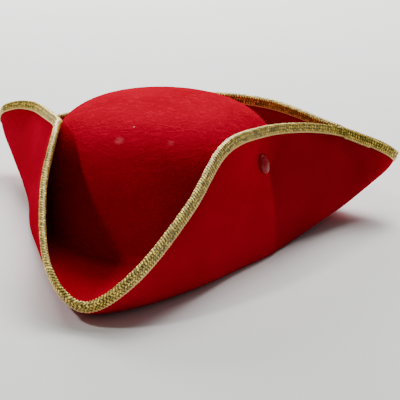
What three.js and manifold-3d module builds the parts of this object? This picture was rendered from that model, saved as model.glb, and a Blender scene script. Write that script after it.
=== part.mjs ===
// A felt tricorn hat with a woven braid folded over the edge of its turned-up brim.
// Millimetres. X across the hat, -Y towards the front corner, +Z up, the floor at z = 0.
import * as THREE from "three";
import { mergeVertices } from "three/examples/jsm/utils/BufferGeometryUtils.js";
import Module from "manifold-3d";

const wasm = await Module();
wasm.setup();

// Named sizes
const wall = 2;                 // felt thickness
const gap = 0.3;                // between pieces that touch
const crownHalfWidth = 89;      // middle of the felt, at the foot of the crown
const crownHalfLength = 94;
const crownTop = 96;            // height of the middle of the felt at the top of the crown
const footHeight = 3;           // where the crown's fillet runs out into the brim
const footFillet = 6;           // radius of that fillet
const radiusPower = 0.65;       // roundness of the dome, in plan and in height
const heightPower = 0.49;
const cornerReach = 163;        // X reach of the back corners
const noseReach = 200;          // Y reach of the front corner
const foldPull = 0.88;          // how far each rib is drawn towards its fold point
const foldRise = 0.6;           // and how much of that before the fold where the fold is raised
const flapRest = wall + 0.8;    // middle of the flap to middle of the crown where they lie together
const braidWidth = 8.4;         // visible width on each face
const braidThickness = 0.8;
const rivetRib = 3.8;           // rib number at which the flaps are held to the crown
const rivetFromEdge = 29;       // along the flap
const drawnRadius = 26;         // how far round its nearest point the flap is drawn in to the crown
const creaseDepth = 3;          // step of the crease that runs down from the rivet

// The line of that crease: rib numbers, and shares of the rib from foot to edge
const crease = { topRib: 3.95, topShare: 0.64, ribsPerShare: 0.6, lowShare: 0.03, highShare: 0.68 };

// One row for each rib of the right half, from the front corner to the middle of the back.
// foot is an angle in degrees; fold and edge are shares of cornerReach, noseReach and crownTop.
// The left half differs by three shares: its edge is lower by leftDrop and further in by leftIn,
// and its fold is further in by leftTuck.
const ribs = [
  { name: "front",    foot: -90, foldX:  0.000, foldY: -0.940, foldZ: -0.036,
    edgeX:  0.000, edgeY: -1.006, edgeZ:  0.165, leftDrop: 0.000, leftIn: 0.000, leftTuck: 0.000 },
  { name: "low",      foot: -74, foldX:  0.214, foldY: -0.850, foldZ: -0.046,
    edgeX:  0.173, edgeY: -0.928, edgeZ:  0.354, leftDrop: 0.000, leftIn: 0.000, leftTuck: 0.050 },
  { name: "spout",    foot: -56, foldX:  0.374, foldY: -0.673, foldZ: -0.058,
    edgeX:  0.308, edgeY: -0.653, edgeZ:  0.677, leftDrop: 0.000, leftIn: 0.000, leftTuck: 0.060 },
  { name: "shoulder", foot: -36, foldX:  0.524, foldY: -0.358, foldZ: -0.066,
    edgeX:  0.367, edgeY: -0.377, edgeZ:  0.938, leftDrop: 0.000, leftIn: 0.000, leftTuck: 0.015 },
  { name: "pin",      foot:  -4, foldX:  0.684, foldY: -0.040, foldZ: -0.068,
    edgeX:  0.470, edgeY: -0.151, edgeZ:  0.953, leftDrop: 0.090, leftIn: 0.025, leftTuck: 0.000 },
  { name: "rear",     foot:  10, foldX:  0.814, foldY:  0.122, foldZ:  0.006,
    edgeX:  0.606, edgeY:  0.074, edgeZ:  0.882, leftDrop: 0.095, leftIn: 0.015, leftTuck: 0.000 },
  { name: "pinch",    foot:  20, foldX:  0.920, foldY:  0.232, foldZ:  0.100,
    edgeX:  0.733, edgeY:  0.286, edgeZ:  0.752, leftDrop: 0.050, leftIn: 0.000, leftTuck: 0.000 },
  { name: "seam",     foot:  23, foldX:  0.966, foldY:  0.297, foldZ:  0.198,
    edgeX:  0.843, edgeY:  0.354, edgeZ:  0.667, leftDrop: -0.004, leftIn: 0.000, leftTuck: 0.000 },
  { name: "nib",      foot:  26, foldX:  0.997, foldY:  0.362, foldZ:  0.302,
    edgeX:  0.966, edgeY:  0.402, edgeZ:  0.572, leftDrop: -0.022, leftIn: 0.010, leftTuck: 0.000 },
  { name: "tip",      foot:  30, foldX:  0.996, foldY:  0.434, foldZ:  0.333,
    edgeX:  1.020, edgeY:  0.441, edgeZ:  0.504, leftDrop: 0.018, leftIn: 0.022, leftTuck: 0.000 },
  { name: "heel",     foot:  34, foldX:  0.914, foldY:  0.465, foldZ:  0.258,
    edgeX:  0.952, edgeY:  0.436, edgeZ:  0.568, leftDrop: -0.003, leftIn: 0.013, leftTuck: 0.000 },
  { name: "welt",     foot:  37, foldX:  0.840, foldY:  0.495, foldZ:  0.193,
    edgeX:  0.826, edgeY:  0.379, edgeZ:  0.667, leftDrop: 0.080, leftIn: 0.000, leftTuck: 0.000 },
  { name: "parting",  foot:  41, foldX:  0.758, foldY:  0.525, foldZ:  0.124,
    edgeX:  0.699, edgeY:  0.336, edgeZ:  0.755, leftDrop: 0.160, leftIn: 0.000, leftTuck: 0.000 },
  { name: "quarter",  foot:  62, foldX:  0.428, foldY:  0.661, foldZ: -0.070,
    edgeX:  0.367, edgeY:  0.522, edgeZ:  0.790, leftDrop: 0.060, leftIn: 0.000, leftTuck: 0.000 },
  { name: "back",     foot:  90, foldX:  0.000, foldY:  0.729, foldZ: -0.074,
    edgeX:  0.000, edgeY:  0.568, edgeZ:  0.768, leftDrop: 0.000, leftIn: 0.000, leftTuck: 0.000 },
];

// Fineness of the mesh
const stepsPerRib = 3;
const crownRows = 9;
const filletRows = 3;
const brimShares = [0.12, 0.23, 0.33, 0.42, 0.5, 0.58, 0.67, 0.77, 0.88, 1];   // close at the fold

// The stations all the way round: the right half as listed, then the left half mirrored
function stations() {
  const place = (rib, side) => ({
    foot: new THREE.Vector3(side * Math.cos(THREE.MathUtils.degToRad(rib.foot)),
      Math.sin(THREE.MathUtils.degToRad(rib.foot)), 0),
    fold: new THREE.Vector3(side * (rib.foldX - (side < 0 ? rib.leftTuck : 0)) * cornerReach,
      rib.foldY * noseReach, rib.foldZ * crownTop),
    edge: new THREE.Vector3(side * (rib.edgeX - (side < 0 ? rib.leftIn : 0)) * cornerReach,
      rib.edgeY * noseReach, (rib.edgeZ - (side < 0 ? rib.leftDrop : 0)) * crownTop),
  });
  const right = ribs.map((rib) => place(rib, 1));
  const left = ribs.slice(1, -1).reverse().map((rib) => place(rib, -1));
  return right.concat(left);
}

const round = stations();
const loop = (key) => new THREE.CatmullRomCurve3(round.map((s) => s[key]), true, "catmullrom", 0.5);
const footLoop = loop("foot");
const foldLoop = loop("fold");
const edgeLoop = loop("edge");
const around = round.length * stepsPerRib;

// The dome: the share of the foot's radius at a share of the height
function domeRadius(heightShare) {
  const s = Math.asin(Math.pow(THREE.MathUtils.clamp(heightShare, 0, 1), 1 / heightPower));
  return Math.pow(Math.cos(s), radiusPower);
}

function crownPoint(direction, s) {
  const radius = Math.pow(Math.max(Math.cos(s), 0), radiusPower);
  const height = footHeight + (crownTop - footHeight) * Math.pow(Math.sin(s), heightPower);
  const size = new THREE.Vector3(crownHalfWidth * radius, crownHalfLength * radius, 0);
  return size.multiply(direction).setZ(height);
}

// A flap that would reach into the crown lies against it instead
function restOnCrown(point) {
  const share = (point.z - footHeight) / (crownTop - footHeight);
  if (share <= 0.1 || share >= 1) return point;
  const radius = domeRadius(share);
  const halfWidth = crownHalfWidth * radius + flapRest;
  const halfLength = crownHalfLength * radius + flapRest;
  const reach = Math.hypot(point.x / halfWidth, point.y / halfLength);
  if (reach < 1) {
    point.x /= reach;
    point.y /= reach;
  }
  return point;
}

// The crease: a swell in front of its line that drops behind it to a hollow, fading towards both ends
function creaseAt(ribNumber, share) {
  const along = ribNumber - (crease.topRib - crease.ribsPerShare * (crease.topShare - share));
  const reach = crease.highShare - crease.lowShare;
  const upDown = THREE.MathUtils.clamp((share - crease.lowShare) / reach, 0, 1);
  const swell = Math.exp(-Math.pow(along / 0.5, 2));
  const hollow = -Math.exp(-Math.pow((along - 0.2) / 0.35, 2));
  const behind = THREE.MathUtils.smoothstep(along, -0.05, 0.08);
  return creaseDepth * 0.5 * Math.sin(Math.PI * upDown) * THREE.MathUtils.lerp(swell, hollow, behind);
}

// One rib of the brim, a cubic Bezier from the foot over the fold to the edge
function ribCurve(t) {
  const direction = footLoop.getPoint(t).setZ(0).normalize();
  const foot = new THREE.Vector3((crownHalfWidth + footFillet) * direction.x,
    (crownHalfLength + footFillet) * direction.y, footHeight);
  const fold = foldLoop.getPoint(t);
  const edge = edgeLoop.getPoint(t);
  const leave = foot.clone().lerp(fold, foldPull);
  const rise = fold.z - footHeight;
  leave.z = footHeight + foldPull * (Math.min(rise, 0) + foldRise * Math.max(rise, 0));
  const arrive = edge.clone().lerp(fold, foldPull);
  return { direction, curve: new THREE.CubicBezierCurve3(foot, leave, arrive, edge) };
}

// The middle surface of the felt: one column of points for each step around, from the top of the crown
// to the edge
function column(index) {
  const t = index / around;
  const ribNumber = t * round.length;
  const { direction, curve } = ribCurve(t);
  const points = [];
  const firstSine = Math.asin(Math.pow(footFillet / (crownTop - footHeight), 1 / heightPower));
  for (let row = crownRows; row >= 0; row--) {
    const s = firstSine + (Math.PI / 2 - firstSine) * Math.pow(row / crownRows, 1.5);
    points.push(crownPoint(direction, s));
  }
  for (let row = 1; row <= filletRows; row++) {
    const turn = (Math.PI / 2) * (row / filletRows);
    const out = footFillet * (1 - Math.cos(turn));
    const size = new THREE.Vector3(crownHalfWidth + out, crownHalfLength + out, 0);
    points.push(size.multiply(direction).setZ(footHeight + footFillet * (1 - Math.sin(turn))));
  }
  curve.arcLengthDivisions = 120;
  const lengths = curve.getLengths();
  const length = lengths[lengths.length - 1];
  const braidStart = curve.getUtoTmapping((length - braidWidth) / length);
  const parameters = brimShares.map((share) => share * braidStart);
  parameters.push(curve.getUtoTmapping((length - braidWidth / 2) / length));
  parameters.push(curve.getUtoTmapping((length - braidThickness - gap) / length));
  const stops = parameters.map((parameter) => {
    const place = parameter * (lengths.length - 1);
    const below = Math.floor(place);
    return THREE.MathUtils.lerp(lengths[below], lengths[below + 1], place - below);
  });
  for (const parameter of parameters) points.push(curve.getPoint(parameter));
  const firstBrim = points.length - stops.length;
  for (let row = firstBrim; row < points.length; row++) {
    restOnCrown(points[row]);
    points[row].z = Math.max(points[row].z, wall / 2);
  }
  return { points, firstBrim, ribNumber, length, stops };
}

const columns = Array.from({ length: around }, (_, index) => column(index));
const rows = columns[0].points.length;
const at = (i, j) => columns[(i + around) % around].points[j];

// Unit normals of the middle surface, pointing to the crown's outside and the flaps' inner face
function normalAt(i, j) {
  if (j === 0) return new THREE.Vector3(0, 0, 1);
  const along = at(i + 1, j).clone().sub(at(i - 1, j));
  const down = at(i, Math.min(j + 1, rows - 1)).clone().sub(at(i, j - 1));
  return down.cross(along).normalize();
}

const allNormals = () => columns.map((_, i) => Array.from({ length: rows }, (_, j) => normalAt(i, j)));
let normals = allNormals();

// How far outside the crown's middle surface a point lies, as a share
function crownShare(p) {
  const radius = domeRadius((p.z - footHeight) / (crownTop - footHeight));
  return Math.hypot(p.x / (crownHalfWidth * radius), p.y / (crownHalfLength * radius));
}

// Distance along a ray from a point to the crown's middle surface
function depthToCrown(seat, inward) {
  let low = 0;
  let high = 16;
  for (let step = 0; step < 40; step++) {
    const middle = (low + high) / 2;
    if (crownShare(seat.clone().addScaledVector(inward, middle)) > 1) low = middle;
    else high = middle;
  }
  return low;
}

// The place on a flap's middle where it lies in to the crown, and the flap's normal there
function flapSeat(side) {
  const place = side > 0 ? rivetRib * stepsPerRib : around - rivetRib * stepsPerRib;
  const first = Math.floor(place);
  const [near, next] = [first, first + 1].map((column) => {
    const { stops, length, firstBrim } = columns[column];
    const wanted = length - rivetFromEdge;
    const above = stops.findIndex((stop) => stop > wanted);
    const share = (wanted - stops[above - 1]) / (stops[above] - stops[above - 1]);
    const row = firstBrim + above;
    return {
      seat: at(column, row - 1).clone().lerp(at(column, row), share),
      flapNormal: normals[column][row - 1].clone().lerp(normals[column][row], share),
    };
  });
  return {
    seat: near.seat.lerp(next.seat, place - first),
    flapNormal: near.flapNormal.lerp(next.flapNormal, place - first).normalize(),
  };
}

// Both side flaps are drawn in to the crown, the right one by its rivet
const drawn = [1, -1].map((side) => {
  const { seat, flapNormal } = flapSeat(side);
  return { seat, amount: depthToCrown(seat, flapNormal) - flapRest };
});
columns.forEach((each, i) => each.points.forEach((point, j) => {
  if (j < each.firstBrim) return;
  const share = each.stops[j - each.firstBrim] / each.length;
  let move = -creaseAt(each.ribNumber, share);
  for (const { seat, amount } of drawn) {
    move += amount * Math.exp(-Math.pow(point.distanceTo(seat) / drawnRadius, 2));
  }
  point.addScaledVector(normals[i][j], move);
  restOnCrown(point);
}));
normals = allNormals();

// A point off the middle surface, along its normal
function offset(i, j, distance) {
  return at(i, j).clone().addScaledVector(normals[(i + around) % around][j], distance);
}

// Closed mesh from a grid that goes round in i and along a section in j
function meshFrom(vertices, triangles) {
  const geometry = new THREE.BufferGeometry();
  const places = vertices.flatMap((v) => [v.x, v.y, v.z]);
  geometry.setAttribute("position", new THREE.Float32BufferAttribute(places, 3));
  geometry.setIndex(triangles);
  return geometry;
}

// The felt: outer face, rim and inner face, flattened where the brim rests
function feltGeometry() {
  const vertices = [];
  const triangles = [];
  const half = wall / 2;
  const top = vertices.push(new THREE.Vector3(0, 0, crownTop + half)) - 1;
  const under = vertices.push(new THREE.Vector3(0, 0, crownTop - half)) - 1;
  const face = (side) => columns.map((_, i) => Array.from({ length: rows - 1 }, (_, k) => {
    const point = offset(i, k + 1, side * half);
    point.z = Math.max(point.z, side > 0 ? wall : 0);
    return vertices.push(point) - 1;
  }));
  const outside = face(1);
  const inside = face(-1);
  for (let i = 0; i < around; i++) {
    const n = (i + 1) % around;
    triangles.push(top, outside[i][0], outside[n][0]);
    triangles.push(under, inside[n][0], inside[i][0]);
    for (let k = 0; k < rows - 2; k++) {
      triangles.push(outside[i][k], outside[i][k + 1], outside[n][k + 1]);
      triangles.push(outside[i][k], outside[n][k + 1], outside[n][k]);
      triangles.push(inside[i][k], inside[n][k + 1], inside[i][k + 1]);
      triangles.push(inside[i][k], inside[n][k], inside[n][k + 1]);
    }
    const last = rows - 2;
    triangles.push(outside[i][last], inside[i][last], inside[n][last]);
    triangles.push(outside[i][last], inside[n][last], outside[n][last]);
  }
  return meshFrom(vertices, triangles);
}

// The braid: a U section over the edge, its faces parallel to the felt's, thicker where the two ends lap
function braidGeometry() {
  const near = wall / 2 + gap;
  const far = near + braidThickness;
  const lapStart = 6 * stepsPerRib + 1;
  const vertices = [];
  const sections = [];
  for (let i = 0; i < around; i++) {
    const lap = i >= lapStart && i < lapStart + stepsPerRib ? braidThickness : 0;
    const edge = rows - 1;
    const out = at(i, edge).clone().sub(at(i, edge - 1)).normalize();
    const beyond = (distance, side) => offset(i, edge, side).addScaledVector(out, distance);
    const section = [];
    for (const j of [edge - 2, edge - 1, edge]) section.push(offset(i, j, far));
    section.push(beyond(gap + braidThickness, near));
    section.push(beyond(gap + braidThickness, -near));
    for (const j of [edge, edge - 1, edge - 2]) section.push(offset(i, j, -far - lap));
    for (const j of [edge - 2, edge - 1]) section.push(offset(i, j, -near));
    section.push(beyond(gap, -near));
    section.push(beyond(gap, near));
    for (const j of [edge - 1, edge - 2]) section.push(offset(i, j, near));
    sections.push(section.map((point) => vertices.push(point) - 1));
  }
  const triangles = [];
  for (let i = 0; i < around; i++) {
    const here = sections[i];
    const next = sections[(i + 1) % around];
    for (let k = 0; k < here.length; k++) {
      const m = (k + 1) % here.length;
      // The diagonals run as the felt's do, so that the gap between them stays even
      if (k > here.length - 5) {
        triangles.push(here[k], here[m], next[k]);
        triangles.push(here[m], next[m], next[k]);
      } else {
        triangles.push(here[k], here[m], next[m]);
        triangles.push(here[k], next[m], next[k]);
      }
    }
  }
  return meshFrom(vertices, triangles);
}

// The rivet on the right flap: oval dome head outside, stem through flap and crown, washer inside the crown
const rivet = {
  headWidth: 10, headLength: 14, headRise: 2.2, headRim: 0.6,
  stemRadius: 1.8, holeRadius: 2.2, washerRadius: 5.5, washerThickness: 1,
};

const wholeFelt = new THREE.Mesh(feltGeometry());
wholeFelt.material.side = THREE.DoubleSide;

// The rivet's seat and its axis, halfway between the flap's normal and the crown's
function rivetFrame() {
  const { seat, flapNormal } = flapSeat(1);
  const hit = seat.clone().addScaledVector(flapNormal, depthToCrown(seat, flapNormal));
  const inward = flapNormal.clone().sub(crownNormal(hit)).normalize();
  const sideways = new THREE.Vector3(0, 0, 1).cross(inward).normalize();
  const downwards = sideways.clone().cross(inward);
  return { seat, inward, sideways, downwards };
}

// Where the felt's faces lie along the axis, under a disc round it: the flap's outer face and the
// crown's inner face
function feltFaces({ seat, inward, sideways, downwards }, radius) {
  const back = 2 * rivet.headLength;
  const ray = new THREE.Raycaster();
  let flapOuter = 0;
  let crownInner = 0;
  for (const share of [0, 0.5, 1]) {
    for (let turn = 0; turn < 2 * Math.PI; turn += Math.PI / 8) {
      const start = seat.clone().addScaledVector(inward, -back)
        .addScaledVector(sideways, share * radius * Math.cos(turn))
        .addScaledVector(downwards, share * radius * Math.sin(turn));
      ray.set(start, inward);
      const hits = ray.intersectObject(wholeFelt).map((hit) => hit.distance - back);
      flapOuter = Math.min(flapOuter, hits[0]);
      crownInner = Math.max(crownInner, hits[3]);
    }
  }
  return { flapOuter, crownInner };
}

// Unit normal of the crown's middle surface at a point on it
function crownNormal(p) {
  const step = 0.01;
  const beside = (axis, distance) => crownShare(p.clone().addScaledVector(axis, distance));
  const slopes = ["x", "y", "z"].map((name) => {
    const axis = new THREE.Vector3();
    axis[name] = 1;
    return beside(axis, step) - beside(axis, -step);
  });
  return new THREE.Vector3(...slopes).normalize();
}

// A turned shape set on the rivet's axis, its Z axis down the flap
function setOnAxis(geometry, { seat, inward, sideways, downwards }) {
  const place = new THREE.Matrix4().makeBasis(sideways, inward, downwards).setPosition(seat);
  return geometry.applyMatrix4(place);
}

// The whole rivet, turned from its outline, its head then stretched down the flap
function rivetGeometry() {
  const frame = rivetFrame();
  const head = gap - feltFaces(frame, rivet.headLength / 2).flapOuter;
  const inside = gap + feltFaces(frame, rivet.washerRadius).crownInner;
  const half = rivet.headWidth / 2;
  const outline = [
    [0, -head - rivet.headRim - rivet.headRise],
    [half * 0.5, -head - rivet.headRim - rivet.headRise * 0.86],
    [half * 0.87, -head - rivet.headRim - rivet.headRise * 0.48],
    [half, -head - rivet.headRim],
    [half, -head],
    [rivet.stemRadius, -head],
    [rivet.stemRadius, inside],
    [rivet.washerRadius, inside],
    [rivet.washerRadius, inside + rivet.washerThickness],
    [0, inside + rivet.washerThickness],
  ].map(([radius, height]) => new THREE.Vector2(radius, height));
  const turned = new THREE.LatheGeometry(outline, 20);
  const places = turned.attributes.position;
  for (let k = 0; k < places.count; k++) {
    const radius = Math.hypot(places.getX(k), places.getZ(k));
    const onHead = places.getY(k) < -head + gap / 2 && radius > 1.01 * rivet.stemRadius;
    if (onHead) places.setZ(k, places.getZ(k) * rivet.headLength / rivet.headWidth);
  }
  return setOnAxis(turned, frame);
}

// Clearance hole for the stem, cut through the flap and the crown
function holeGeometry() {
  const frame = rivetFrame();
  const length = feltFaces(frame, rivet.holeRadius).crownInner + 2 * wall;
  const drill = new THREE.CylinderGeometry(rivet.holeRadius, rivet.holeRadius, length, 12);
  drill.translate(0, length / 2 - 1.5 * wall, 0);
  return setOnAxis(drill, frame);
}

// A mesh as a solid, and back
function solidOf(geometry) {
  const bare = geometry.clone();
  bare.deleteAttribute("normal");
  bare.deleteAttribute("uv");
  const merged = mergeVertices(bare, 1e-4);
  return new wasm.Manifold(new wasm.Mesh({
    numProp: 3,
    vertProperties: new Float32Array(merged.attributes.position.array),
    triVerts: new Uint32Array(merged.index.array),
  }));
}

function geometryOf(solid) {
  const mesh = solid.getMesh();
  const geometry = new THREE.BufferGeometry();
  geometry.setAttribute("position", new THREE.Float32BufferAttribute(mesh.vertProperties, 3));
  geometry.setIndex(Array.from(mesh.triVerts));
  return geometry;
}

// Felt, knitted metallic yarn and clear nylon
const materials = {
  felt_body: { color: "#a8101e", roughness: 0.95, metalness: 0 },
  edge_braid: { color: "#b5a355", roughness: 0.45, metalness: 0.5 },
  rivet_right: { color: "#a04048", roughness: 0.3, metalness: 0, transparent: true, opacity: 0.8 },
};

const felt = geometryOf(solidOf(wholeFelt.geometry).subtract(solidOf(holeGeometry())));
const pieces = {
  felt_body: felt,
  edge_braid: braidGeometry(),
  rivet_right: rivetGeometry(),
};

// The origin goes to the middle of the box's underside
const box = new THREE.Box3();
for (const geometry of Object.values(pieces)) {
  geometry.computeBoundingBox();
  box.union(geometry.boundingBox);
}
const middle = box.getCenter(new THREE.Vector3());

const hat = new THREE.Group();
hat.name = "tricorn_hat";
for (const [name, geometry] of Object.entries(pieces)) {
  geometry.translate(-middle.x, -middle.y, -box.min.z);
  const mesh = new THREE.Mesh(geometry, new THREE.MeshStandardMaterial(materials[name]));
  mesh.name = name;
  hat.add(mesh);
}

export default hat;
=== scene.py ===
# A red felt tricorn hat with a knitted gold braid folded over the edge of its turned-up brim.
# Lengths are millimetres until a mesh is made. X runs across the hat, -Y to the front corner and +Z up.
from collections import namedtuple

import bpy
import numpy as np
from mathutils import Matrix, Vector


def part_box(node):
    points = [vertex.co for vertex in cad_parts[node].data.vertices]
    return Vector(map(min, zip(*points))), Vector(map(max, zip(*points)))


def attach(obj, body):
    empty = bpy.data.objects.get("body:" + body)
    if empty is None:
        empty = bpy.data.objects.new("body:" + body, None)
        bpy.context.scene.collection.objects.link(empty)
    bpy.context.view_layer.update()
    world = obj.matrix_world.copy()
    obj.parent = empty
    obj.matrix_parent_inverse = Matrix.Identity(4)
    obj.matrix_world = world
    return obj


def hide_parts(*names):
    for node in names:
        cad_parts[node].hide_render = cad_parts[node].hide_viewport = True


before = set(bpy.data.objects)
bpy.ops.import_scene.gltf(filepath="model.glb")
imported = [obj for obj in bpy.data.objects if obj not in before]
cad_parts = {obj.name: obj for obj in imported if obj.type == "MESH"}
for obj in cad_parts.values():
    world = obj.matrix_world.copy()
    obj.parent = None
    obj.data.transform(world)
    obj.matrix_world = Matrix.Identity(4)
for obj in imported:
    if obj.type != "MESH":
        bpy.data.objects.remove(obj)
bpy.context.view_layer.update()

MM = 0.001

# Felt
FELT_WALL = 2.0
CROWN_HALF_WIDTH = 89.0
CROWN_HALF_LENGTH = 94.0
CROWN_TOP = 96.0
FOOT_HEIGHT = 3.0
FOOT_FILLET = 6.0
RADIUS_POWER = 0.65          # roundness of the dome in plan
HEIGHT_POWER = 0.49          # and in height
CORNER_REACH = 163.0         # X reach of the back corners
NOSE_REACH = 200.0           # Y reach of the front corner
FOLD_PULL = 0.88             # how far each rib is drawn towards its fold point
FOLD_RISE = 0.6              # and how much of that before the fold where the fold is raised
FLAP_REST = FELT_WALL + 0.8  # middle of the flap to middle of the crown where they lie together
RIVET_RIB = 3.8              # rib number at which the side flaps are held to the crown
RIVET_FROM_EDGE = 29.0
DRAWN_RADIUS = 26.0          # how far round that place the flap is drawn in to the crown
SEAT_SPREAD = 3.0            # to each side of that place, to find the flap's slope there
SEAT_DEPTHS = np.linspace(0, 16, 1601)  # places tried inwards from there to meet the crown
SLOPE_STEP = 0.01            # to each side of a place, to find the crown's slope there
LYING_SHARE = 0.1            # of the crown's height, above which the flaps lie against it

# Crease below the right flap's rivet. Places along it are shares of the rib from foot to edge, and places
# and widths across it are in ribs.
CREASE_DEPTH = 3.0
CREASE_TOP_RIB = 3.86
CREASE_TOP_SHARE = 0.64
CREASE_RIBS_PER_SHARE = 0.67
CREASE_SLANT_END = 0.75      # share above which the line no longer slants
CREASE_SPAN = (0.03, 0.68)
CREASE_SWELL = 0.5
CREASE_HOLLOW = 0.35
CREASE_HOLLOW_AT = 0.2
CREASE_STEP = 0.13
CREASE_STEP_ABOVE = 1.4      # how much wider the step is a little way above the crease
CREASE_FADE = 0.3            # and that way's share
CREASE_LINE_AT = 0.4         # share of the step at which the line lies

# Painted light and shade on the right flap's outer face: lighter in front of the crease and darker behind it
CREASE_PAINTED_LIGHT = 0.55             # how much lighter the painted light makes the felt in front of the crease
CREASE_LIGHT_HEIGHT = 0.85            # share of the rib at which it is lightest
CREASE_LIGHT_ROUND = 1.1              # width of that place in ribs
CREASE_LIGHT_UP = 0.45                # and up the rib
CREASE_PAINTED_SHADE = 0.16              # how much darker the painted shade makes the felt behind the crease
CREASE_SHADE_END = 2.0                # ribs over which that ends before the corner
CORNER_RIB = 9               # rib number of the right back corner

# Braid
BRAID_WIDTH = 8.4            # on each face of the brim
BRAID_THICKNESS = 0.8
BRAID_GAP = 0.3              # to the felt
CORD_WIDTH = 1.2             # of the cords along the ribbon's two borders
CORD_RISE = 0.5
CORD_EDGE = 0.6              # share of the cord's height at which the stitches stop
BEAD_PITCH = 2.2
BEAD_WAIST = 0.5             # share of the cord's height between two beads
STITCH_PITCH = 2.3           # drawn a little coarser than the yarn, so that it shows at this size
STITCH_RISE = 0.6
STITCH_LEAN = 0.45           # of the stitch pitch, over the width of a wale
STITCH_SHIFT = 0.37          # of the stitch pitch, from each wale to the next
STITCH_LOWEST = 0.55         # share of the full height that the lowest stitches have
STITCH_SHARPNESS = 1.2
WALE_BORDER = 0.3            # share of the height left at a wale's border
WALES = 3                    # rows of stitches on each side of the one over the fold
SCATTER = (12.99, 78.23, 4375.9)  # factors of the sine that scatters the stitches' heights
HIDDEN_GAP = 0.05            # from the felt to the braid's hidden side, on its faces
HIDDEN_EDGE_GAP = 0.1        # and over the edge
LAP = (6.1, 7.3)             # ribs between which the braid's two ends lap
LAP_RAMP = 0.1               # ribs over which it thickens at each end
LAP_DROP = 1.4               # how much further down the flap the upper end reaches there

# Rivet
HEAD_WIDTH = 10.0
HEAD_LENGTH = 14.0
HEAD_RISE = 2.2
HEAD_RIM = 0.6
STEM_RADIUS = 1.8
STEM_FLARE = (0.4, 0.3)      # outwards and along, where it meets the head and the washer
WASHER_RADIUS = 5.5
WASHER_THICKNESS = 1.0
WASHER_BEVEL = 0.2

# One row for each rib of the right half, from the front corner to the middle of the back. foot is an
# angle in degrees, and fold and edge are shares of the corners' reach, the nose's reach and the crown's top.
# In the left half the edge is lower by left_drop and further in by left_in, and the fold further in by
# left_tuck.
Rib = namedtuple("Rib", "name foot fold_x fold_y fold_z edge_x edge_y edge_z left_drop left_in left_tuck")
RIBS = (
    Rib("front",    -90,  0.000, -0.940, -0.036,  0.000, -1.006,  0.165,  0.000,  0.000,  0.000),
    Rib("low",      -74,  0.214, -0.850, -0.046,  0.173, -0.928,  0.354,  0.000,  0.000,  0.050),
    Rib("spout",    -56,  0.374, -0.673, -0.058,  0.308, -0.653,  0.677,  0.000,  0.000,  0.060),
    Rib("shoulder", -36,  0.524, -0.358, -0.066,  0.367, -0.377,  0.938,  0.000,  0.000,  0.015),
    Rib("pin",       -4,  0.684, -0.040, -0.068,  0.470, -0.151,  0.953,  0.090,  0.025,  0.000),
    Rib("rear",      10,  0.814,  0.122,  0.006,  0.606,  0.074,  0.882,  0.095,  0.015,  0.000),
    Rib("pinch",     20,  0.920,  0.232,  0.100,  0.733,  0.286,  0.752,  0.050,  0.000,  0.000),
    Rib("seam",      23,  0.966,  0.297,  0.198,  0.843,  0.354,  0.667, -0.004,  0.000,  0.000),
    Rib("nib",       26,  0.997,  0.362,  0.302,  0.966,  0.402,  0.572, -0.022,  0.010,  0.000),
    Rib("tip",       30,  0.996,  0.434,  0.333,  1.020,  0.441,  0.504,  0.018,  0.022,  0.000),
    Rib("heel",      34,  0.914,  0.465,  0.258,  0.952,  0.436,  0.568, -0.003,  0.013,  0.000),
    Rib("welt",      37,  0.840,  0.495,  0.193,  0.826,  0.379,  0.667,  0.080,  0.000,  0.000),
    Rib("parting",   41,  0.758,  0.525,  0.124,  0.699,  0.336,  0.755,  0.200,  0.000,  0.000),
    Rib("quarter",   62,  0.428,  0.661, -0.070,  0.367,  0.522,  0.790,  0.115,  0.000,  0.000),
    Rib("back",      90,  0.000,  0.729, -0.074,  0.000,  0.568,  0.768,  0.000,  0.000,  0.000),
)

# Fineness
FELT_STEPS = 18              # columns for each rib
CROWN_ROWS = 28
CROWN_CROWDING = 1.5         # how much closer its rows lie towards the foot
FILLET_ROWS = 5
BRIM_ROWS = 54
RIM_ROWS = 8
BRAID_STEPS = 80
BRAID_FACE_ROWS = 15
BRAID_FOLD_ROWS = 7
EDGE_STEPS = 40              # places for each rib at which the edge's length is added up
RIVET_STEPS = 64
HEAD_ROWS = 16
HEAD_RIM_ROWS = 6
RIB_SAMPLES = 240


def unit(v):
    """Vectors of an array, each divided by its own length."""
    return v / np.maximum(np.linalg.norm(v, axis=-1, keepdims=True), 1e-9)


def stations():
    """Foot directions, fold points and edge points all the way round: the right half as listed, then the
    left half mirrored in X, less its own three shares."""
    ribs = RIBS + RIBS[-2:0:-1]
    side = np.where(np.arange(len(ribs)) < len(RIBS), 1, -1)
    column = {name: np.array([getattr(rib, name) for rib in ribs]) for name in Rib._fields[1:]}
    left = {name: column["left_" + name] * (side < 0) for name in ("drop", "in", "tuck")}
    angle = np.radians(column["foot"])
    reach = np.array((CORNER_REACH, NOSE_REACH, CROWN_TOP))
    foot = np.stack((side * np.cos(angle), np.sin(angle), 0 * angle), axis=-1)
    fold = np.stack((side * (column["fold_x"] - left["tuck"]), column["fold_y"], column["fold_z"]), axis=-1)
    edge = np.stack((side * (column["edge_x"] - left["in"]), column["edge_y"],
                     column["edge_z"] - left["drop"]), axis=-1)
    return foot, fold * reach, edge * reach


FOOT_STATIONS, FOLD_STATIONS, EDGE_STATIONS = stations()
STATIONS = len(FOOT_STATIONS)


def closed_spline(points, t):
    """A closed curve through the points. Between two of them it is the cubic whose slope at each is half
    the chord between that point's neighbours; t is the share of the way round."""
    place = np.asarray(t) * len(points)
    first = np.floor(place).astype(int)
    w = (place - first)[..., None]
    before, start, end, after = (points[(first + k) % len(points)] for k in (-1, 0, 1, 2))
    leaving = (end - before) / 2
    arriving = (after - start) / 2
    return ((2 * (start - end) + leaving + arriving) * w**3
            + (3 * (end - start) - 2 * leaving - arriving) * w**2 + leaving * w + start)


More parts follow.
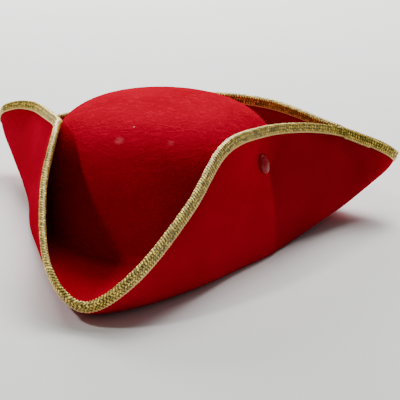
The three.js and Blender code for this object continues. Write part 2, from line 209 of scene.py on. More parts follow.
def dome_radius(height_share):
    """Share of the foot's radius at a share of the height: cos(s) to the radius power, where sin(s) to the
    height power is the height."""
    s = np.arcsin(np.clip(height_share, 0, 1) ** (1 / HEIGHT_POWER))
    return np.maximum(np.cos(s), 0) ** RADIUS_POWER


def lie_on_crown(points):
    """Points of a flap that would reach into the crown are moved straight out, away from the hat's axis,
    until they lie against it."""
    share = (points[..., 2] - FOOT_HEIGHT) / (CROWN_TOP - FOOT_HEIGHT)
    radius = dome_radius(share)
    reach = np.hypot(points[..., 0] / (CROWN_HALF_WIDTH * radius + FLAP_REST),
                     points[..., 1] / (CROWN_HALF_LENGTH * radius + FLAP_REST))
    inside = (share > LYING_SHARE) & (share < 1) & (reach < 1)
    scale = np.where(inside, 1 / np.maximum(reach, 1e-6), 1)
    return points * np.stack((scale, scale, np.ones_like(scale)), axis=-1)


def foot_direction(t):
    """Unit vector from the hat's axis to the crown's foot, at the shares t of the way round."""
    return unit(closed_spline(FOOT_STATIONS, t) * (1, 1, 0))


def on_ellipse(direction, growth, height):
    """Points of the crown's ellipse in plan, grown outwards by a length, at a height."""
    width, length, height = np.broadcast_arrays(CROWN_HALF_WIDTH + growth, CROWN_HALF_LENGTH + growth,
                                                height)
    size = np.stack((width, length, 0 * height), axis=-1)
    return direction[:, None, :] * size + np.stack((0 * height, 0 * height, height), axis=-1)


def crown_middle(t):
    """The dome, from its top down to its fillet: the radius is cos(s) to the radius power and the height
    sin(s) to the height power, s falling from a quarter turn."""
    first = np.arcsin((FOOT_FILLET / (CROWN_TOP - FOOT_HEIGHT)) ** (1 / HEIGHT_POWER))
    s = first + (np.pi / 2 - first) * np.linspace(1, 0, CROWN_ROWS + 1)[1:] ** CROWN_CROWDING
    radius = np.cos(s)[None, :, None] ** RADIUS_POWER
    height = FOOT_HEIGHT + (CROWN_TOP - FOOT_HEIGHT) * np.sin(s) ** HEIGHT_POWER
    return on_ellipse(foot_direction(t), 0, 0 * s) * radius + np.stack((0 * s, 0 * s, height), axis=-1)


def fillet_middle(t):
    """A quarter circle in section, from the crown's wall out into the brim."""
    turn = np.linspace(0, np.pi / 2, FILLET_ROWS + 1)[1:]
    return on_ellipse(foot_direction(t), FOOT_FILLET * (1 - np.cos(turn)),
                      FOOT_HEIGHT + FOOT_FILLET * (1 - np.sin(turn)))


def ribs_at(t):
    """The ribs of the brim at the shares t of the way round, each a cubic Bezier curve from the foot over
    the fold to the edge: its four control points, and the length run at evenly spaced parameters."""
    foot = on_ellipse(foot_direction(t), FOOT_FILLET, np.full(1, FOOT_HEIGHT))[:, 0]
    fold = closed_spline(FOLD_STATIONS, t)
    edge = closed_spline(EDGE_STATIONS, t)
    leave = foot + (fold - foot) * FOLD_PULL
    rise = fold[:, 2] - FOOT_HEIGHT
    leave[:, 2] = FOOT_HEIGHT + FOLD_PULL * (np.minimum(rise, 0) + FOLD_RISE * np.maximum(rise, 0))
    arrive = edge + (fold - edge) * FOLD_PULL
    control = np.stack((foot, leave, arrive, edge), axis=1)
    walked = rib_points(control, np.broadcast_to(np.linspace(0, 1, RIB_SAMPLES), (len(t), RIB_SAMPLES)))
    steps = np.linalg.norm(np.diff(walked, axis=1), axis=-1)
    return control, np.concatenate((np.zeros((len(t), 1)), np.cumsum(steps, axis=1)), axis=1)


def rib_points(control, parameter):
    """Points of cubic Bezier curves at their parameters, weighed by (1-w)^3, 3w(1-w)^2, 3w^2(1-w), w^3."""
    w = parameter[..., None]
    a, b, c, d = (control[:, None, k] for k in range(4))
    return a * (1 - w)**3 + 3 * b * w * (1 - w)**2 + 3 * c * w**2 * (1 - w) + d * w**3


def parameter_at(lengths, wanted):
    """Parameters of the ribs at the wanted lengths from their feet. The ribs are laid end to end, so that
    one interpolation serves them all."""
    offsets = np.arange(len(lengths))[:, None] * (lengths.max() + 1)
    parameters = np.broadcast_to(np.linspace(0, 1, lengths.shape[1]), lengths.shape)
    return np.interp(wanted + offsets, (lengths + offsets).ravel(), parameters.ravel())


def length_at(lengths, parameter):
    """Length from the foot at each rib's parameters, the other way round."""
    offsets = 2 * np.arange(len(lengths))[:, None]
    parameters = np.broadcast_to(np.linspace(0, 1, lengths.shape[1]), lengths.shape) + offsets
    return np.interp(parameter + offsets, parameters.ravel(), lengths.ravel())


def grid_normals(points):
    """Unit normals of a grid that closes in its first axis: the slope down a column crossed with the slope
    round a row. They point to the crown's outside, the brim's top and the flaps' inner faces."""
    around = np.roll(points, -1, axis=0) - np.roll(points, 1, axis=0)
    return unit(np.cross(np.gradient(points, axis=1), around))


def past_crease(rib_number, share):
    """How many ribs a place on the brim lies behind the crease's slanting line, and 0 in front of the line
    and 1 behind it, with a smooth step between them that widens above the crease."""
    below = CREASE_TOP_SHARE - np.minimum(share, CREASE_SLANT_END)
    along = rib_number - (CREASE_TOP_RIB - CREASE_RIBS_PER_SHARE * below)
    width = CREASE_STEP + CREASE_STEP_ABOVE * np.clip((share - CREASE_SPAN[1]) / CREASE_FADE, 0, 1)
    step = np.clip(along / width + CREASE_LINE_AT, 0, 1)
    return along, step**2 * (3 - 2 * step)


def crease(rib_number, share):
    """How far the felt stands out at the crease: a swell in front of its line that drops behind it to a
    hollow, both bell curves, fading towards both ends as half a sine wave."""
    along, behind = past_crease(rib_number, share)
    low, high = CREASE_SPAN
    fade = np.sin(np.pi * np.clip((share - low) / (high - low), 0, 1))
    swell = np.exp(-(along / CREASE_SWELL)**2)
    hollow = -np.exp(-((along - CREASE_HOLLOW_AT) / CREASE_HOLLOW)**2)
    return CREASE_DEPTH / 2 * fade * (swell + (hollow - swell) * behind)


def painted_crease_light(rib_number, share):
    """Painted light and shade on the right flap's outer face, as a factor on its colour: painted light as a
    bell curve both round the hat and up the flap in front of the crease, and painted shade evenly darker
    behind it until the corner."""
    along, behind = past_crease(rib_number, share)
    light = CREASE_PAINTED_LIGHT * np.exp(-(along / CREASE_LIGHT_ROUND)**2 - ((share - CREASE_LIGHT_HEIGHT) / CREASE_LIGHT_UP)**2)
    dark = CREASE_PAINTED_SHADE * np.clip((CORNER_RIB - rib_number) / CREASE_SHADE_END, 0, 1)
    return 1 + light * (1 - behind) - dark * behind


def crown_share(points):
    """How far out a point lies, as a share of the crown's middle surface at its height."""
    radius = dome_radius((points[..., 2] - FOOT_HEIGHT) / (CROWN_TOP - FOOT_HEIGHT))
    return np.hypot(points[..., 0] / (CROWN_HALF_WIDTH * radius),
                    points[..., 1] / (CROWN_HALF_LENGTH * radius))


def raw_brim(t, wanted):
    """Middle of the brim's felt before it is drawn in, at the wanted lengths from each rib's foot."""
    control, lengths = ribs_at(t)
    points = lie_on_crown(rib_points(control, parameter_at(lengths, wanted)))
    points[..., 2] = np.maximum(points[..., 2], FELT_WALL / 2)
    return points


def rivet_seat(side):
    """Place on a side flap's middle where it is held to the crown, the flap's unit normal there, and the
    distance along it to the crown's middle."""
    either_way = np.array((-1, 0, 1))
    t = side * RIVET_RIB / STATIONS % 1 + either_way / (STATIONS * 3)
    lengths = ribs_at(t)[1][:, -1:]
    points = raw_brim(t, lengths - RIVET_FROM_EDGE + SEAT_SPREAD * either_way)
    seat = points[1, 1]
    normal = unit(np.cross(points[1, 2] - points[1, 0], points[2, 1] - points[0, 1]))
    depth = SEAT_DEPTHS[np.argmax(crown_share(seat + SEAT_DEPTHS[:, None] * normal) <= 1)]
    return seat, normal, depth


SEATS = {"right": rivet_seat(1), "left": rivet_seat(-1)}


def settled(points, normals, rib_number, share):
    """Middle of the brim's felt as worn: the crease stands out, both side flaps are drawn in to the crown by
    a bell curve of the distance to where they are held, and nothing reaches into the crown."""
    move = -crease(rib_number, share)
    for seat, normal, depth in SEATS.values():
        distance = np.linalg.norm(points - seat, axis=-1)
        move = move + (depth - FLAP_REST) * np.exp(-(distance / DRAWN_RADIUS)**2)
    return lie_on_crown(points + normals * move[..., None])


def felt_middle():
    """Middle surface of the whole felt as a grid: columns go round the hat, rows from the crown's top to
    the edge of the brim. Also the share of the rib at each place, 0 on the crown, and the rib numbers."""
    t = np.arange(STATIONS * FELT_STEPS) / (STATIONS * FELT_STEPS)
    lengths = ribs_at(t)[1]
    length = lengths[:, -1:]
    braid_start = parameter_at(lengths, length - BRAID_WIDTH)
    shares = np.linspace(0, 1, BRIM_ROWS + 1)[1:] * braid_start
    inside_braid = np.linspace(BRAID_WIDTH, BRAID_THICKNESS + BRAID_GAP, RIM_ROWS + 1)[1:]
    stops = np.concatenate((length_at(lengths, shares), length - inside_braid), axis=1)
    crown = np.concatenate((crown_middle(t), fillet_middle(t)), axis=1)
    points = np.concatenate((crown, raw_brim(t, stops)), axis=1)
    first = crown.shape[1]
    rib_number = t[:, None] * STATIONS
    points[:, first:] = settled(points[:, first:], grid_normals(points)[:, first:], rib_number,
                                stops / length)
    return points, np.pad(stops / length, ((0, 0), (first, 0))), rib_number


def add_mesh(name, vertices, faces, material, replaced):
    """A smooth mesh in the row frame, riding on the hat and standing for its CAD node."""
    mesh = bpy.data.meshes.new(name)
    mesh.from_pydata(vertices * MM, [], faces)
    mesh.shade_smooth()
    mesh.materials.append(material)
    piece = bpy.data.objects.new(name, mesh)
    bpy.context.collection.objects.link(piece)
    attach(piece, "root")
    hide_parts(replaced)
    return piece


def add_layer(piece, name, values):
    """Numbers kept with a piece's vertices for its material to read."""
    layer = piece.data.attributes.new(name, "FLOAT", "POINT")
    layer.data.foreach_set("value", values.astype(np.float32))


def wrap_quads(columns, rows, first=0, closed_rows=False):
    """Quads of a grid whose columns close on themselves, and whose rows do too if closed_rows: vertex
    (i, j) is number first + i * rows + j, and each quad runs down a column and then round to the next."""
    i = np.arange(columns)[:, None]
    j = np.arange(rows if closed_rows else rows - 1)[None, :]
    n, m = (i + 1) % columns, (j + 1) % rows
    return first + np.stack((i * rows + j, i * rows + m, n * rows + m, n * rows + j), axis=-1).reshape(-1, 4)


def felt_mesh(middle):
    """The felt as one closed skin: both faces lie half a wall from the middle surface along its normals,
    a pole closes each at the crown's top, a rim joins them at the edge, and the brim is flat on the floor."""
    normals = grid_normals(middle)
    half = FELT_WALL / 2
    outside = middle + half * normals
    inside = middle - half * normals
    outside[..., 2] = np.maximum(outside[..., 2], FELT_WALL)
    inside[..., 2] = np.maximum(inside[..., 2], 0)
    columns, rows = middle.shape[:2]
    count = columns * rows
    poles = np.array(((0, 0, CROWN_TOP + half), (0, 0, CROWN_TOP - half)))
    vertices = np.concatenate((outside.reshape(-1, 3), inside.reshape(-1, 3), poles))
    ring = np.arange(columns) * rows
    following = np.roll(ring, -1)
    outer_rim, inner_rim = ring + rows - 1, ring + rows - 1 + count
    rim = np.stack((outer_rim, inner_rim, np.roll(inner_rim, -1), np.roll(outer_rim, -1)), axis=-1)
    top_fan = np.stack((np.full(columns, 2 * count), ring, following), axis=-1)
    under_fan = np.stack((np.full(columns, 2 * count + 1), following + count, ring + count), axis=-1)
    quads = np.concatenate((wrap_quads(columns, rows), wrap_quads(columns, rows, count)[:, ::-1], rim))
    return vertices, quads.tolist() + top_fan.tolist() + under_fan.tolist()


def even_along_edge(count):
    """Shares of the way round that are evenly spaced along the brim's edge, and the edge's whole length."""
    t = np.linspace(0, 1, EDGE_STEPS * STATIONS + 1)
    steps = np.linalg.norm(np.diff(closed_spline(EDGE_STATIONS, t), axis=0), axis=1)
    walked = np.concatenate(((0,), np.cumsum(steps)))
    return np.interp(np.arange(count) / count * walked[-1], walked, t), walked[-1]


def braid_relief(along, across, half_ribbon, whole):
    """Height of the braid's yarns over its ground and how much of it is cord, at lengths along the edge and
    across the ribbon from its fold. The cord at each border is half round in section and beaded along.
    Between them lie wales of stitches, one of them over the fold: cosine ridges that lean to either side by
    turns, each as high as the fraction left by a large multiple of the sine of its number."""
    bead = whole / round(whole / BEAD_PITCH)
    stitch = whole / round(whole / STITCH_PITCH)
    border = (np.abs(across) - half_ribbon + CORD_WIDTH / 2) / (CORD_WIDTH / 2)
    cord = np.sqrt(np.clip(1 - border**2, 0, 1))
    beads = BEAD_WAIST + (1 - BEAD_WAIST) * np.abs(np.sin(np.pi * along / bead))
    wale = across / (half_ribbon - CORD_WIDTH) * (WALES + 0.5) + 0.5
    number = np.floor(wale)
    within = wale - number
    lean = np.where(number % 2 == 0, STITCH_LEAN, -STITCH_LEAN)
    phase = along / stitch + lean * (within - 0.5) + STITCH_SHIFT * number
    chance = np.sin(SCATTER[0] * np.round(phase) + SCATTER[1] * number) * SCATTER[2]
    tall = STITCH_LOWEST + (1 - STITCH_LOWEST) * (chance - np.floor(chance))
    rounded = WALE_BORDER + (1 - WALE_BORDER) * np.sqrt(np.clip(1 - (2 * within - 1)**2, 0, 1))
    stitches = STITCH_RISE * tall * np.abs(np.cos(np.pi * phase)) ** STITCH_SHARPNESS * rounded
    relief = np.maximum(CORD_RISE * cord * beads, stitches * (cord < CORD_EDGE))
    return relief, np.broadcast_to(cord, relief.shape)


def braid_mesh():
    """The braid as a tube of flattened section round the brim's edge. Each face runs parallel to the felt,
    half an ellipse joins them over the edge, and the hidden side lies just off the felt. The relief stands
    out from it, and one end of the braid lies over the other for a short way."""
    columns = STATIONS * BRAID_STEPS
    t, whole = even_along_edge(columns)
    rib_number = t[:, None] * STATIONS
    rim = BRAID_THICKNESS + BRAID_GAP
    faces_at = np.linspace(BRAID_WIDTH, rim, BRAID_FACE_ROWS)
    lap_on = (np.clip((rib_number - LAP[0]) / LAP_RAMP, 0, 1)
              * np.clip((LAP[1] - rib_number) / LAP_RAMP, 0, 1))
    length = ribs_at(t)[1][:, -1:]
    stops = length - faces_at - LAP_DROP * lap_on * (faces_at - rim) / (BRAID_WIDTH - rim)
    raw = raw_brim(t, stops)
    middle = settled(raw, grid_normals(raw), rib_number, stops / length)
    normals = grid_normals(middle)
    outwards = unit(middle[:, -1:] - middle[:, -3:-2])
    turn = np.pi * np.arange(1, BRAID_FOLD_ROWS + 1) / (BRAID_FOLD_ROWS + 1)
    cosine, sine = np.cos(turn)[:, None], np.sin(turn)[:, None]

    near = FELT_WALL / 2 + HIDDEN_GAP
    far = FELT_WALL / 2 + BRAID_GAP + BRAID_THICKNESS
    at_edge, edge_normal = middle[:, -1:], normals[:, -1:]
    along = np.arange(columns)[:, None] / columns * whole
    half_fold = np.pi / 2 * np.sqrt((far**2 + rim**2) / 2)
    ribbon = faces_at - rim + half_fold
    across = np.concatenate((-ribbon, -half_fold * np.cos(turn), ribbon[::-1]))
    relief, cord = braid_relief(along, across[None, :], ribbon[0], whole)
    lap = np.where(across > 0, 1, 0.0)[None, :] * lap_on * BRAID_THICKNESS

    ground = np.concatenate((middle + far * normals,
                             at_edge + far * cosine * edge_normal + rim * sine * outwards,
                             (middle - far * normals)[:, ::-1]), axis=1)
    rising = np.concatenate((normals, unit(cosine * edge_normal + sine * outwards), -normals[:, ::-1]),
                            axis=1)
    skin = ground + rising * (relief + lap - STITCH_RISE / 2)[..., None]
    hidden_rows = [0, BRAID_FACE_ROWS // 2, BRAID_FACE_ROWS - 1]
    hidden = np.concatenate(((middle - near * normals)[:, hidden_rows], at_edge + HIDDEN_EDGE_GAP * outwards,
                             (middle + near * normals)[:, hidden_rows[::-1]]), axis=1)
    section = np.concatenate((skin, hidden), axis=1)
    rows = section.shape[1]
    faces = wrap_quads(columns, rows, closed_rows=True)
    blank = np.zeros((columns, rows - skin.shape[1]))
    reliefs = np.concatenate((relief, blank), axis=1) / STITCH_RISE
    cords = np.concatenate((cord, blank), axis=1)
    return section.reshape(-1, 3), faces.tolist(), reliefs.ravel(), cords.ravel()


def rivet_mesh(shift):
    """The right flap's rivet, turned about its axis from a profile: a domed head outside the flap, stretched
    to an oval down the flap, a stem, and a washer inside the crown. The axis lies halfway between the flap's
    normal and the crown's, and the head and the washer sit where the CAD node's do."""
    seat, flap_normal, depth = SEATS["right"]
    hit = seat + depth * flap_normal
    small = SLOPE_STEP * np.eye(3)
    crown_normal = unit(crown_share(hit + small) - crown_share(hit - small))
    inward = unit(flap_normal - crown_normal)
    sideways = unit(np.cross((0, 0, 1), inward))
    downwards = np.cross(sideways, inward)
    seat = seat + shift
    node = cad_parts["rivet_right"]
    corners = np.empty(3 * len(node.data.vertices))
    node.data.vertices.foreach_get("co", corners)
    reach = (corners.reshape(-1, 3) / MM - seat) @ inward
    low, high = reach.min(), reach.max()
    rim = low + HEAD_RISE
    half = HEAD_WIDTH / 2
    angle = np.linspace(0, np.pi / 2, HEAD_ROWS)
    dome = np.stack((half * np.sin(angle), rim - HEAD_RISE * np.cos(angle)), axis=-1)
    brow = np.linspace(-np.pi / 2, np.pi / 2, HEAD_RIM_ROWS + 1)[1:]
    edge = np.stack((half - HEAD_RIM / 2 * (1 - np.cos(brow)), rim + HEAD_RIM / 2 * (1 + np.sin(brow))),
                    axis=-1)
    under = rim + HEAD_RIM
    washer = high - WASHER_THICKNESS
    flare, flare_length = STEM_FLARE
    stem = np.array(((STEM_RADIUS + flare, under), (STEM_RADIUS, under + flare_length),
                     (STEM_RADIUS, washer - flare_length), (STEM_RADIUS + flare, washer),
                     (WASHER_RADIUS - WASHER_BEVEL, washer), (WASHER_RADIUS, washer + WASHER_THICKNESS / 2),
                     (WASHER_RADIUS - WASHER_BEVEL, high), (0, high)))
    profile = np.concatenate((dome, edge, stem))
    stretch = np.where(np.arange(len(profile)) < len(dome) + len(edge), HEAD_LENGTH / HEAD_WIDTH, 1.0)
    turn = np.arange(RIVET_STEPS) * 2 * np.pi / RIVET_STEPS
    across = np.cos(turn)[:, None] * profile[None, :, 0]
    down = np.sin(turn)[:, None] * profile[None, :, 0] * stretch
    grid = (seat + across[..., None] * sideways + down[..., None] * downwards
            + profile[None, :, 1:] * inward)[:, 1:-1]
    rows = grid.shape[1]
    poles = seat + profile[[0, -1], 1:] * inward
    first = np.arange(RIVET_STEPS) * rows
    last = first + rows - 1
    head_fan = np.stack((np.full(RIVET_STEPS, RIVET_STEPS * rows), np.roll(first, -1), first), axis=-1)
    foot_fan = np.stack((np.full(RIVET_STEPS, RIVET_STEPS * rows + 1), last, np.roll(last, -1)), axis=-1)
    fans = np.concatenate((head_fan, foot_fan))
    vertices = np.concatenate((grid.reshape(-1, 3), poles))
    return vertices, wrap_quads(RIVET_STEPS, rows)[:, ::-1].tolist() + fans.tolist()


def linear(hex_colour):
    """An sRGB hex colour as linear red, green, blue and alpha."""
    srgb = np.array([int(hex_colour[k:k + 2], 16) / 255 for k in (1, 3, 5)])
    rgb = np.where(srgb <= 0.04045, srgb / 12.92, ((srgb + 0.055) / 1.055) ** 2.4)
    return (*rgb.tolist(), 1)


def fill(owner, node, sockets):
    """Fills the input sockets of a node, given by name or number: another node's output is linked, and
    anything else is the socket's own value."""
    for key, value in sockets.items():
        if isinstance(value, bpy.types.NodeSocket):
            owner.node_tree.links.new(value, node.inputs[key])
        else:
            node.inputs[key].default_value = value


def add_node(material, kind, output, sockets, **settings):
    """Adds a node to a material with its properties and its sockets, and gives back one of its outputs."""
    node = material.node_tree.nodes.new(kind)
    for name, value in settings.items():
        setattr(node, name, value)
    fill(material, node, sockets)
    return node.outputs[output]


# Sockets in order: a range that a value is carried from and to, and the share and two colours of a mix
RANGE = ("Value", "From Min", "From Max", "To Min", "To Max")
MIX = (0, 6, 7)


def new_material(name):
    """A material whose only nodes are its output and its Principled shader, and that shader."""
    material = bpy.data.materials.new(name)
    material.use_nodes = True
    return material, material.node_tree.nodes["Principled BSDF"]


NOISE_SPAN = (0.3, 0.7)      # where nearly all values of a noise lie

# Felt finish: pitches in millimetres along X, Y and Z, and how far each stands out
FELT_RIPPLE = (6.0, 4.0, 2.4)
FELT_RIPPLE_RISE = 0.17
BRIM_RIPPLE = 0.25           # share of the crown top's ripples that the brim has
RIPPLE_GROWTH = 1.5          # power of the height by which they grow up the crown
FELT_FIBRE = (1.1, 1.1, 1.1)
FELT_FIBRE_RISE = 0.25
FELT_CLOUD = (55.0, 55.0, 40.0)
FELT_RED = "#b60026"
FELT_DEEP = "#a2001c"
# painted highlight: the lighter red that the ripple crests take, most on the crown's top
FELT_CREST_HIGHLIGHT = "#d00430"
FELT_CREST_HIGHLIGHT_SHARE = 0.5       # how much of that painted highlight the highest ripples have
FELT_BLOOM = "#ff2048"
SPOT_RAGGED = 0.9           # share of a spot's radius by which the fibres draw its border in
SPOT_FADE = (0.6, 1.4)      # shares of its radius between which it fades

# Scuffs and specks on the felt, and a painted highlight where the left rivet's collar shows in the gap
# between the left flap and the crown: place in the hat's own frame, radius, strength and hue
FeltSpot = namedtuple("FeltSpot", "place radius strength hue")
SCUFFS_AND_HIGHLIGHT = (
    FeltSpot((-14.7, -71.6, 83.7), 5.0, 0.35, "#e0606a"),
    FeltSpot((22.0, -67.9, 85.0), 3.6, 0.22, "#e0606a"),
    FeltSpot((-7.7, -58.3, 90.9), 0.9, 0.8, "#f0b0a8"),
    # painted highlight of the left rivet's collar: a near-white spot on the felt
    FeltSpot((-69.3, -45.7, 68.9), 1.2, 0.9, "#ffe8d8"),
)


def pressed_felt(shift):
    """Needle-punched polyester felt, dyed through. Its loose fibre ends scatter light, so it has no gloss and
    hardly any bloom where it is seen edge on, and steam pressing left fine level ripples across it. Its
    colour carries painted light and shade on either side of the right flap's crease, a painted highlight on
    the ripple crests and a painted highlight among its scuffs."""
    material, shader = new_material("pressed_red_felt")
    place = add_node(material, "ShaderNodeTexCoord", "Object", {})
    pattern = {}
    for name, pitches, detail, distortion in (("ripples", FELT_RIPPLE, 2.0, 1.0),
                                              ("fibres", FELT_FIBRE, 4.0, 0.0),
                                              ("clouds", FELT_CLOUD, 2.0, 0.0)):
        scaled = add_node(material, "ShaderNodeMapping", "Vector",
                          {"Vector": place, "Scale": [1 / (pitch * MM) for pitch in pitches]})
        pattern[name] = add_node(material, "ShaderNodeTexNoise", "Fac",
                                 {"Vector": scaled, "Scale": 1.0, "Detail": detail, "Distortion": distortion})
    waves = add_node(material, "ShaderNodeMapRange", "Result",
                     dict(zip(RANGE, (pattern["ripples"], *NOISE_SPAN, -1.0, 1.0))))
    strength = add_node(material, "ShaderNodeAttribute", "Fac", {}, attribute_name="ripple")
    ripples = add_node(material, "ShaderNodeMath", "Value", {0: waves, 1: strength}, operation="MULTIPLY")
    clouded = add_node(material, "ShaderNodeMapRange", "Result",
                       dict(zip(RANGE, (pattern["clouds"], *NOISE_SPAN, 0.0, 1.0))))
    colour = add_node(material, "ShaderNodeMix", 2,
                      dict(zip(MIX, (clouded, linear(FELT_DEEP), linear(FELT_RED)))), data_type="RGBA")
    # painted highlight on the ripple crests, stronger the further up the crown
    crest_highlight = add_node(material, "ShaderNodeMapRange", "Result",
                      dict(zip(RANGE, (ripples, 0.0, 1.0, 0.0, FELT_CREST_HIGHLIGHT_SHARE))))
    colour = add_node(material, "ShaderNodeMix", 2, dict(zip(MIX, (crest_highlight, colour, linear(FELT_CREST_HIGHLIGHT)))),
                      data_type="RGBA")
    # painted light in front of the right flap's crease and painted shade behind it, multiplied into the
    # colour
    painted_crease_shading = add_node(material, "ShaderNodeAttribute", "Fac", {}, attribute_name="painted_crease_light")
    colour = add_node(material, "ShaderNodeMix", 2, dict(zip(MIX, (1.0, colour, painted_crease_shading))),
                      data_type="RGBA", blend_type="MULTIPLY")
    # scuffs and specks, and the painted highlight of the left rivet's collar
    for spot in SCUFFS_AND_HIGHLIGHT:
        radius = spot.radius * MM
        away = add_node(material, "ShaderNodeVectorMath", "Value",
                        {0: place, 1: ((shift + spot.place) * MM).tolist()}, operation="DISTANCE")
        ragged = add_node(material, "ShaderNodeMath", "Value",
                          {0: pattern["fibres"], 1: SPOT_RAGGED * radius, 2: away}, operation="MULTIPLY_ADD")
        near, far = (share * radius for share in SPOT_FADE)
        fade = add_node(material, "ShaderNodeMapRange", "Result",
                        dict(zip(RANGE, (ragged, near, far, spot.strength, 0.0))),
                        interpolation_type="SMOOTHSTEP")
        colour = add_node(material, "ShaderNodeMix", 2, dict(zip(MIX, (fade, colour, linear(spot.hue)))),
                          data_type="RGBA")
    ripple_bump = add_node(material, "ShaderNodeBump", "Normal",
                           {"Height": ripples, "Strength": 1.0, "Distance": FELT_RIPPLE_RISE * MM})
    fibre_bump = add_node(material, "ShaderNodeBump", "Normal",
                          {"Height": pattern["fibres"], "Strength": 1.0, "Distance": FELT_FIBRE_RISE * MM,
                           "Normal": ripple_bump})
    fill(material, shader, {"Base Color": colour, "Normal": fibre_bump, "Roughness": 0.97,
                            "Specular IOR Level": 0.0, "Sheen Weight": 0.02, "Sheen Roughness": 0.5,
                            "Sheen Tint": linear(FELT_BLOOM)})
    return material


# Braid finish
STRAND_PITCH = 1.3           # drawn coarser than the strips, so that their glints show
STRAND_RISE = 0.15
STRAND_SPAN = (0.4, 0.6)     # values of the strands' noise that give the darkest and brightest glints
BRAID_GLINTS = (0.4, 2.1)    # and those as shares of the yarn's colour
YARN_SPAN = (0.2, 0.75)      # shares of the stitches' height between which the dark ground, with painted shade in the gaps, turns to yarn
CORD_SPAN = (0.25, 0.6)      # shares of the cord's height between which its own colour sets in
CORD_SHARE = 0.9
# dark olive of the ground between the stitches, darkened further as painted shade in those gaps
BRAID_GROUND_AND_GAP_SHADE = "#3c3604"
BRAID_YARN = "#ffd85a"
BRAID_CORD = "#ffd08a"


def knitted_gold():
    """Metallised polyester yarn, knitted: thin bright strips wound on a matt core. It shines softly along the
    raised yarns, is paler on the beaded cords, and turns dark olive where the stitches are low: the ground's
    colour with painted shade in the gaps between the stitches."""
    material, shader = new_material("knitted_gold_yarn")
    relief = add_node(material, "ShaderNodeAttribute", "Fac", {}, attribute_name="relief")
    cord = add_node(material, "ShaderNodeAttribute", "Fac", {}, attribute_name="cord")
    place = add_node(material, "ShaderNodeTexCoord", "Object", {})
    strands = add_node(material, "ShaderNodeTexNoise", "Fac",
                       {"Vector": place, "Scale": 1 / (STRAND_PITCH * MM), "Detail": 3.0})
    # painted shade: the colour darkens towards olive where the stitches are low, in the gaps between them
    raised = add_node(material, "ShaderNodeMapRange", "Result",
                      dict(zip(RANGE, (relief, *YARN_SPAN, 0.0, 1.0))))
    field = add_node(material, "ShaderNodeMix", 2,
                     dict(zip(MIX, (raised, linear(BRAID_GROUND_AND_GAP_SHADE), linear(BRAID_YARN)))), data_type="RGBA")
    glints = add_node(material, "ShaderNodeMapRange", "Result",
                      dict(zip(RANGE, (strands, *STRAND_SPAN, *BRAID_GLINTS))))
    glinting = add_node(material, "ShaderNodeMix", 2, dict(zip(MIX, (1.0, field, glints))),
                        data_type="RGBA", blend_type="MULTIPLY")
    corded = add_node(material, "ShaderNodeMapRange", "Result",
                      dict(zip(RANGE, (cord, *CORD_SPAN, 0.0, CORD_SHARE))))
    colour = add_node(material, "ShaderNodeMix", 2, dict(zip(MIX, (corded, glinting, linear(BRAID_CORD)))),
                      data_type="RGBA")
    bump = add_node(material, "ShaderNodeBump", "Normal",
                    {"Height": strands, "Strength": 0.8, "Distance": STRAND_RISE * MM})
    fill(material, shader, {"Base Color": colour, "Normal": bump, "Metallic": 0.2, "Roughness": 0.36})
    return material


# Rivet finish
RIVET_RED = "#a01624"
RIVET_HAZE = 4.0             # pitch of the haze in the plastic
RIVET_HAZE_RISE = 0.1
RIVET_ROUGHNESS = (0.22, 0.30)


def moulded_nylon():
    """Unfilled nylon, injection moulded: a milky plastic that takes the red of the felt under it and shows
    one soft highlight."""
    material, shader = new_material("clear_moulded_nylon")
    place = add_node(material, "ShaderNodeTexCoord", "Object", {})
    haze = add_node(material, "ShaderNodeTexNoise", "Fac",
                    {"Vector": place, "Scale": 1 / (RIVET_HAZE * MM), "Detail": 2.0})
    roughness = add_node(material, "ShaderNodeMapRange", "Result",
                         dict(zip(RANGE, (haze, *NOISE_SPAN, *RIVET_ROUGHNESS))))
    bump = add_node(material, "ShaderNodeBump", "Normal",
                    {"Height": haze, "Strength": 0.3, "Distance": RIVET_HAZE_RISE * MM})
    fill(material, shader, {"Base Color": linear(RIVET_RED), "Roughness": roughness, "Normal": bump,
                            "IOR": 1.53, "Specular IOR Level": 0.25})
    return material


# Camera: where it stands about the hat, how far, and where the target falls in the picture
PICTURE = 400
CAMERA_AZIMUTH = 14.086
CAMERA_ELEVATION = 17.807
CAMERA_ROLL = -1.703
CAMERA_DISTANCE = 1054.9
PIXELS_PER_MM = 1.326
TARGET_HEIGHT = 50.0
TARGET_PIXEL = (163.7, 159.3)
SENSOR = 36.0
CLIP_END = 50.0              # in metres


def compass(azimuth, elevation):
    """Unit vector towards an azimuth, 0 at the front and 90 at the right, and an elevation, in degrees."""
    a, e = np.radians((azimuth, elevation))
    return np.array((np.sin(a) * np.cos(e), -np.cos(a) * np.cos(e), np.sin(e)))


def add_camera(target):
    """A long lens at the photograph's angle. The shift puts the target where it falls in the picture."""
    back = compass(CAMERA_AZIMUTH, CAMERA_ELEVATION)
    a, roll = np.radians((CAMERA_AZIMUTH, CAMERA_ROLL))
    level = np.array((np.cos(a), np.sin(a), 0))
    rise = np.cross(back, level)
    right = level * np.cos(roll) - rise * np.sin(roll)
    up = level * np.sin(roll) + rise * np.cos(roll)
    data = bpy.data.cameras.new("camera")
    data.sensor_width = SENSOR
    data.lens = PIXELS_PER_MM * CAMERA_DISTANCE * SENSOR / PICTURE
    data.shift_x = (PICTURE / 2 - TARGET_PIXEL[0]) / PICTURE
    data.shift_y = (TARGET_PIXEL[1] - PICTURE / 2) / PICTURE
    data.clip_end = CLIP_END
    camera = bpy.data.objects.new("camera", data)
    turned = Matrix(np.stack((right, up, back), axis=1).tolist()).to_4x4()
    place = (target + back * CAMERA_DISTANCE) * MM
    camera.matrix_world = Matrix.Translation(Vector(place.tolist())) @ turned
    bpy.context.collection.objects.link(camera)
    bpy.context.scene.camera = camera


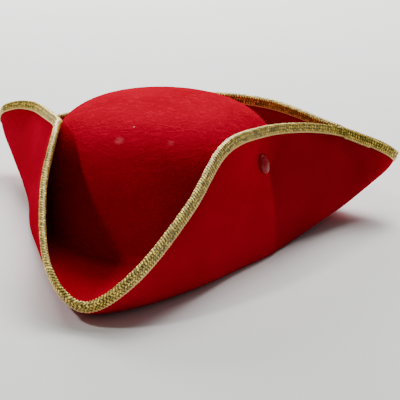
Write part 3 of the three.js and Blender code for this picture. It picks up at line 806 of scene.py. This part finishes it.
# Lights: azimuth and elevation in degrees, distance and size in metres, power in watts
Light = namedtuple("Light", "name azimuth elevation distance size power")
LIGHTS = (
    Light("overhead", 180, 72, 2.0, 0.8, 12),
    Light("behind", 180, 50, 2.0, 0.8, 40),
    Light("left_rear", -150, 25, 2.0, 0.8, 37),
    Light("left_front", -58, 47, 1.6, 0.16, 8.2),
)
SKY = "#ffffff"
SKY_STRENGTH = 0.11
FLOOR_HALF = 6.0
FLOOR_DROP = 0.0002          # below the hat, in metres as the floor's size is
FLOOR_COLOUR = "#f7f6f4"


def add_lights(target):
    """A fairly small light from the left front, which draws the left flap's shadow on the crown, and large
    soft ones above and behind that light the crown from its far side, in an even pale surround."""
    middle = Vector((target * MM).tolist())
    for each in LIGHTS:
        data = bpy.data.lights.new(each.name, "AREA")
        data.size = each.size
        data.energy = each.power
        light = bpy.data.objects.new(each.name, data)
        towards = Vector(compass(each.azimuth, each.elevation).tolist())
        turned = towards.to_track_quat("Z", "Y").to_matrix().to_4x4()
        light.matrix_world = Matrix.Translation(middle + towards * each.distance) @ turned
        bpy.context.collection.objects.link(light)
    world = bpy.data.worlds.new("surround")
    world.use_nodes = True
    fill(world, world.node_tree.nodes["Background"], {"Color": linear(SKY), "Strength": SKY_STRENGTH})
    bpy.context.scene.world = world


def add_floor():
    """A plain pale floor just under the hat."""
    corners = np.array(((-1, -1, 0), (1, -1, 0), (1, 1, 0), (-1, 1, 0))) * FLOOR_HALF
    mesh = bpy.data.meshes.new("floor")
    mesh.from_pydata((corners - (0, 0, FLOOR_DROP)).tolist(), [], [(0, 1, 2, 3)])
    material, shader = new_material("pale_floor")
    fill(material, shader, {"Base Color": linear(FLOOR_COLOUR), "Roughness": 0.9})
    mesh.materials.append(material)
    floor = bpy.data.objects.new("floor", mesh)
    bpy.context.collection.objects.link(floor)


# The hat's middle is put where the frame has it
middle, shares, rib_number = felt_middle()
felt_vertices, felt_faces = felt_mesh(middle)
felt_low, felt_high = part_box("felt_body")
frame_middle = (np.array(felt_low) + np.array(felt_high)) / 2 / MM
own_middle = (felt_vertices.min(axis=0) + felt_vertices.max(axis=0)) / 2
hat_shift = (frame_middle - own_middle) * (1, 1, 0)
target = hat_shift + (0, 0, TARGET_HEIGHT)

felt = add_mesh("felt_hat", felt_vertices + hat_shift, felt_faces, pressed_felt(hat_shift), "felt_body")
# strength of the ripples, growing up the crown: it sets their bumps and the painted highlight on their crests
risen = np.clip(middle[..., 2] / CROWN_TOP, 0, 1) ** RIPPLE_GROWTH * (shares == 0)
rippled = BRIM_RIPPLE + (1 - BRIM_RIPPLE) * risen
add_layer(felt, "ripple", np.concatenate((rippled.ravel(), rippled.ravel(), (1, 1))))
# painted light and shade on the right flap's outer face, kept with the vertices as a factor on the colour
painted_crease_shading = np.where(shares > 0, painted_crease_light(rib_number, shares), 1)
add_layer(felt, "painted_crease_light", np.concatenate((np.ones(painted_crease_shading.size), painted_crease_shading.ravel(), (1, 1))))

braid_vertices, braid_faces, reliefs, cords = braid_mesh()
braid = add_mesh("gold_braid", braid_vertices + hat_shift, braid_faces, knitted_gold(), "edge_braid")
add_layer(braid, "relief", reliefs)
add_layer(braid, "cord", cords)

rivet = add_mesh("right_rivet", *rivet_mesh(hat_shift), moulded_nylon(), "rivet_right")

add_floor()
add_lights(target)
add_camera(target)
